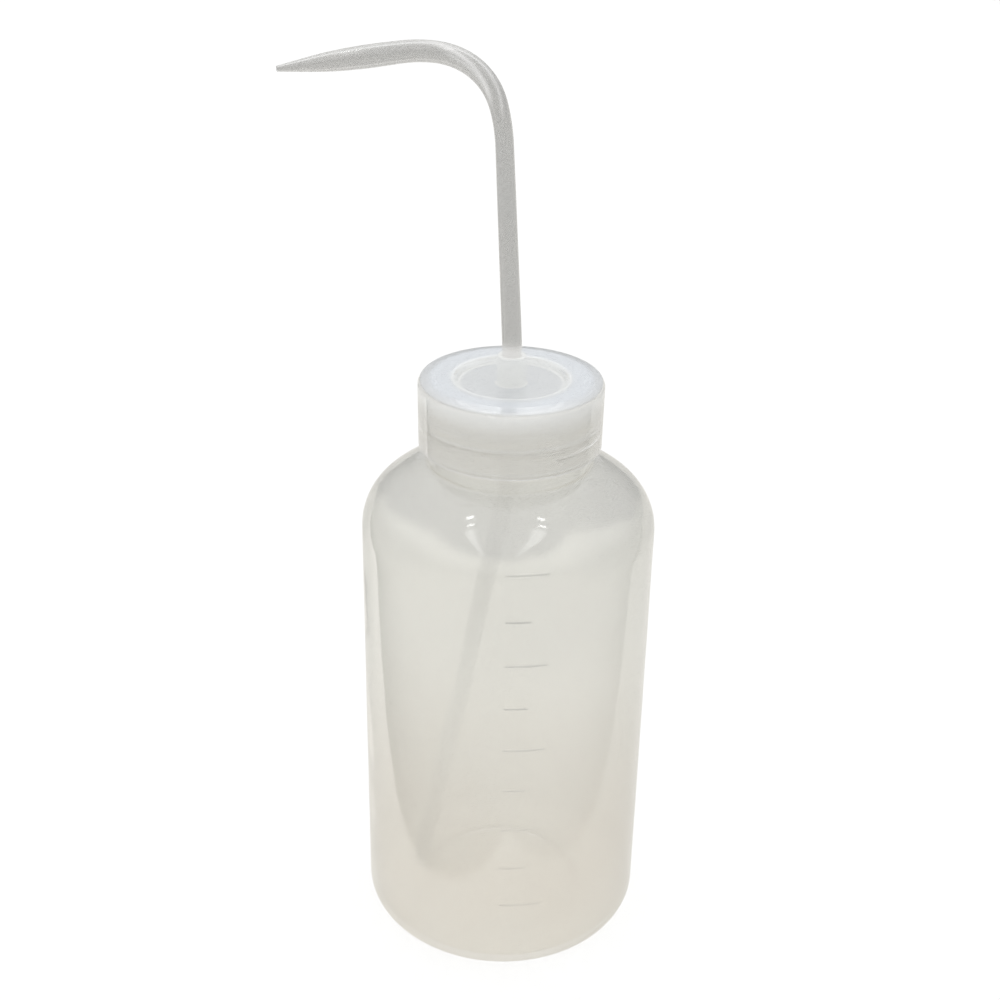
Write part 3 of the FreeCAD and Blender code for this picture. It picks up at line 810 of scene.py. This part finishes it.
def disc(name, z, radius, material, camera, glossy, others):
    """Big flat round floor, seen only by the kinds of light named."""
    n, rings = 96, [0.0, 0.12, 0.3, 0.7, 1.5, 3.0, radius]
    verts = [(0, 0, z)]
    for r in rings[1:]:
        for j in range(n):
            a = 2 * math.pi * j / n
            verts.append((r * math.cos(a), r * math.sin(a), z))
    faces = [(0, 1 + j, 1 + (j + 1) % n) for j in range(n)]
    for i in range(len(rings) - 2):
        for j in range(n):
            a = 1 + i * n + j; b = 1 + i * n + (j + 1) % n
            faces.append((a, a + n, b + n, b))
    me = bpy.data.meshes.new(name)
    me.from_pydata(verts, [], faces)
    me.update()
    ob = bpy.data.objects.new(name, me)
    bpy.context.scene.collection.objects.link(ob)
    me.materials.append(material)
    ob.visible_camera = camera
    ob.visible_glossy = glossy
    ob.visible_diffuse = ob.visible_transmission = ob.visible_volume_scatter = others
    ob.visible_shadow = others
    return ob


def glow(name, build):
    """Emission material whose strength a small node tree gives."""
    m, nt = new_material(name)
    N, L = nt.nodes, nt.links
    out = N.new("ShaderNodeOutputMaterial")
    em = N.new("ShaderNodeEmission")
    build(N, L, em)
    L.new(em.outputs["Emission"], out.inputs["Surface"])
    return m


def math_node(N, L, op, a, b=None, c=None):
    n = N.new("ShaderNodeMath"); n.operation = op
    for i, v in enumerate((a, b, c)):
        if v is None:
            continue
        if isinstance(v, (int, float)):
            n.inputs[i].default_value = v
        else:
            L.new(v, n.inputs[i])
    return n.outputs[0]


def smooth_step(N, L, x, lo, hi):
    n = N.new("ShaderNodeMapRange"); n.interpolation_type = "SMOOTHSTEP"
    L.new(x, n.inputs["Value"])
    n.inputs["From Min"].default_value = lo
    n.inputs["From Max"].default_value = hi
    return n.outputs["Result"]


def floor_light(N, L, em):
    # lit paper: brightest round the bottle, a little greyer further back and to the front
    tc = N.new("ShaderNodeTexCoord")
    sep = N.new("ShaderNodeSeparateXYZ")
    L.new(tc.outputs["Object"], sep.inputs[0])
    far = smooth_step(N, L, sep.outputs["Y"], 0.17, 0.26)
    k = math_node(N, L, "MULTIPLY_ADD", far, -0.34, 0.90)
    em.inputs["Color"].default_value = (1.0, 0.985, 0.95, 1)
    L.new(k, em.inputs["Strength"])


def floor_mirror(N, L, em):
    # what the skin of the plastic mirrors: white paper round and behind, dark room in front and beside
    tc = N.new("ShaderNodeTexCoord")
    sep = N.new("ShaderNodeSeparateXYZ")
    L.new(tc.outputs["Object"], sep.inputs[0])
    x, y = sep.outputs["X"], sep.outputs["Y"]
    left = math_node(N, L, "ADD", math_node(N, L, "MULTIPLY_ADD", x, 1.05, 0.112), y)
    right = math_node(N, L, "ADD", math_node(N, L, "MULTIPLY_ADD", x, -0.74, 0.101), y)
    lower = math_node(N, L, "ADD", math_node(N, L, "MULTIPLY_ADD", x, 0.86, 0.092), y)
    wedge = math_node(N, L, "MULTIPLY", smooth_step(N, L, left, -0.003, 0.003), smooth_step(N, L, right, -0.004, 0.004))
    wedge = math_node(N, L, "MULTIPLY", wedge, smooth_step(N, L, lower, -0.004, 0.004))
    r = math_node(N, L, "SQRT", math_node(N, L, "ADD", math_node(N, L, "MULTIPLY", x, x), math_node(N, L, "MULTIPLY", y, y)))
    near = smooth_step(N, L, r, 0.058, 0.050)
    inside = math_node(N, L, "MAXIMUM", wedge, near)
    # brightest just inside the left border; beyond the borders dark, then slowly lighter
    lit = math_node(N, L, "MULTIPLY_ADD", smooth_step(N, L, left, 0.09, 0.0), 0.40, 0.84)
    gap_l = math_node(N, L, "MULTIPLY", smooth_step(N, L, left, -0.01, -0.16), 0.45)
    gap_r = math_node(N, L, "MULTIPLY_ADD", smooth_step(N, L, right, -0.01, -0.12), 0.3, 0.15)
    unlit = math_node(N, L, "MAXIMUM", gap_l, math_node(N, L, "MULTIPLY", gap_r, smooth_step(N, L, right, 0.004, -0.004)))
    mix = N.new("ShaderNodeMix"); mix.data_type = "FLOAT"
    L.new(inside, mix.inputs["Factor"]); L.new(unlit, mix.inputs["A"]); L.new(lit, mix.inputs["B"])
    k = mix.outputs["Result"]
    em.inputs["Color"].default_value = (1.0, 0.975, 0.92, 1)
    L.new(k, em.inputs["Strength"])


disc("studio_floor", -0.00004, 6.0, pale_floor("studio_paper", 0.25, 0.72), True, False, False)
disc("floor_bounce", -0.0002, 6.0, glow("paper_glow", floor_light), False, False, True)
disc("floor_mirrored", -0.0003, 6.0, glow("paper_mirrored", floor_mirror), False, True, False)

world = bpy.data.worlds.new("studio")
bpy.context.scene.world = world
world.use_nodes = True
wt = world.node_tree
wt.nodes.clear()
N, L = wt.nodes, wt.links
wout = N.new("ShaderNodeOutputWorld")
wbg = N.new("ShaderNodeBackground")
L.new(wbg.outputs[0], wout.inputs["Surface"])
tc = N.new("ShaderNodeTexCoord")
sep = N.new("ShaderNodeSeparateXYZ")
L.new(tc.outputs["Generated"], sep.inputs[0])
dx, dy, dz = sep.outputs
zc = math_node(N, L, "MAXIMUM", dz, 0.02)
cx, cy = math_node(N, L, "DIVIDE", dx, zc), math_node(N, L, "DIVIDE", dy, zc)


def strip(x0, x1, y0, y1, soft, slant0=0.0, slant1=0.0, soft_y=None):
    """A lit patch of the ceiling; its long edges may slant."""
    soft_y = soft if soft_y is None else soft_y
    if slant0 or slant1:
        off = math_node(N, L, "SUBTRACT", cy, y1)
        lo = math_node(N, L, "SUBTRACT", cx, math_node(N, L, "MULTIPLY_ADD", off, slant0, x0))
        hi = math_node(N, L, "SUBTRACT", math_node(N, L, "MULTIPLY_ADD", off, slant1, x1), cx)
        a = math_node(N, L, "MULTIPLY", smooth_step(N, L, lo, -soft, soft), smooth_step(N, L, hi, -soft, soft))
    else:
        a = math_node(N, L, "MULTIPLY", smooth_step(N, L, cx, x0 - soft, x0 + soft), smooth_step(N, L, cx, x1 + soft, x1 - soft))
    b = math_node(N, L, "MULTIPLY", smooth_step(N, L, cy, y0 - soft_y, y0 + soft_y), smooth_step(N, L, cy, y1 + soft_y, y1 - soft_y))
    return math_node(N, L, "MULTIPLY", a, b)


strips = math_node(N, L, "ADD", strip(-0.395, -0.295, -0.95, -0.075, 0.03, 0.05, 0.08, 0.02),
                   strip(0.215, 0.345, -0.95, -0.08, 0.03, 0.11, 0.18, 0.02))
strips = math_node(N, L, "MULTIPLY", strips, math_node(N, L, "MULTIPLY_ADD", smooth_step(N, L, cy, -0.9, -0.1), 0.5, 0.5))
for x0, x1, y0, y1 in ((-0.37, -0.30, 0.055, 0.085), (-0.37, -0.30, -0.03, -0.012),
                       (0.25, 0.32, 0.035, 0.062), (0.26, 0.34, -0.045, -0.025)):
    strips = math_node(N, L, "MULTIPLY_ADD", strip(x0, x1, y0, y1, 0.006), 4.0, strips)
# a soft panel behind
strips = math_node(N, L, "MULTIPLY_ADD", strip(-0.75, 0.75, 0.70, 1.25, 0.22), 0.26, strips)
strips = math_node(N, L, "MULTIPLY", strips, smooth_step(N, L, dz, 0.05, 0.3))
# soft box above and behind, darker room to the front and low
lp = N.new("ShaderNodeLightPath")
# the skin mirrors the ceiling lights once; their light inside the walls is in the room's level
first = math_node(N, L, "LESS_THAN", lp.outputs["Ray Depth"], 2.5)
first = math_node(N, L, "MULTIPLY", first, math_node(N, L, "LESS_THAN", lp.outputs["Transparent Depth"], 0.5))
strips = math_node(N, L, "MULTIPLY", strips, math_node(N, L, "MULTIPLY", first, lp.outputs["Is Glossy Ray"]))
soft_top = smooth_step(N, L, dz, 0.0, 0.9)
back = smooth_step(N, L, dy, -0.75, 0.6)
room = math_node(N, L, "MULTIPLY_ADD", math_node(N, L, "MULTIPLY", soft_top, 1.12), 1.0, math_node(N, L, "MULTIPLY_ADD", back, 0.35, 0.52))
total = math_node(N, L, "MULTIPLY_ADD", strips, 4.0, room)
# what is mirrored at a low angle is the grey of the room, not the paper
low = smooth_step(N, L, dz, 0.45, 0.0)
low = math_node(N, L, "MULTIPLY", low, lp.outputs["Is Glossy Ray"])
low = math_node(N, L, "MULTIPLY_ADD", low, -0.5, 1.0)
total = math_node(N, L, "MULTIPLY", total, low)
mixw = N.new("ShaderNodeMix"); mixw.data_type = "FLOAT"
L.new(lp.outputs["Is Camera Ray"], mixw.inputs["Factor"])
L.new(total, mixw.inputs["A"])
mixw.inputs["B"].default_value = 1.0
L.new(mixw.outputs["Result"], wbg.inputs["Strength"])

# the light is smooth all round, so it needs no aimed sampling
world.cycles.sampling_method = "NONE"
for lit in ("studio_paper", "paper_glow", "paper_mirrored"):
    bpy.data.materials[lit].cycles.emission_sampling = "NONE"

cam_data = bpy.data.cameras.new("camera")
cam = bpy.data.objects.new("camera", cam_data)
bpy.context.scene.collection.objects.link(cam)
bpy.context.scene.camera = cam
pitch, roll, dist = math.radians(26.589), math.radians(1.101), 385.35
fwd = Vector((0, math.cos(pitch), -math.sin(pitch)))
right0 = Vector((1, 0, 0))
up0 = right0.cross(fwd)
right = math.cos(roll) * right0 + math.sin(roll) * up0
up = -math.sin(roll) * right0 + math.cos(roll) * up0
pos = (Vector((-2.211, 0, 122.32)) - dist * fwd) * MM
cam.matrix_world = Matrix((
    (right.x, up.x, -fwd.x, pos.x),
    (right.y, up.y, -fwd.y, pos.y),
    (right.z, up.z, -fwd.z, pos.z),
    (0, 0, 0, 1),
))
cam_data.sensor_width = 36.0
cam_data.lens = 1527.6 / 1000.0 * 36.0
cam_data.clip_start, cam_data.clip_end = 0.01, 20.0
cam_data.dof.use_dof = False

sc = bpy.context.scene
sc.view_settings.view_transform = "Standard"
sc.view_settings.look = "None"
sc.view_settings.exposure = 0.0
sc.view_settings.gamma = 1.0
sc.cycles.max_bounces = 24
sc.cycles.transmission_bounces = 24
sc.cycles.transparent_max_bounces = 24
sc.cycles.diffuse_bounces = 6
sc.cycles.glossy_bounces = 24
sc.cycles.use_denoising = True
sc.cycles.denoising_input_passes = "RGB"
sc.cycles.sample_clamp_indirect = 3.0
sc.cycles.sampling_pattern = "TABULATED_SOBOL"
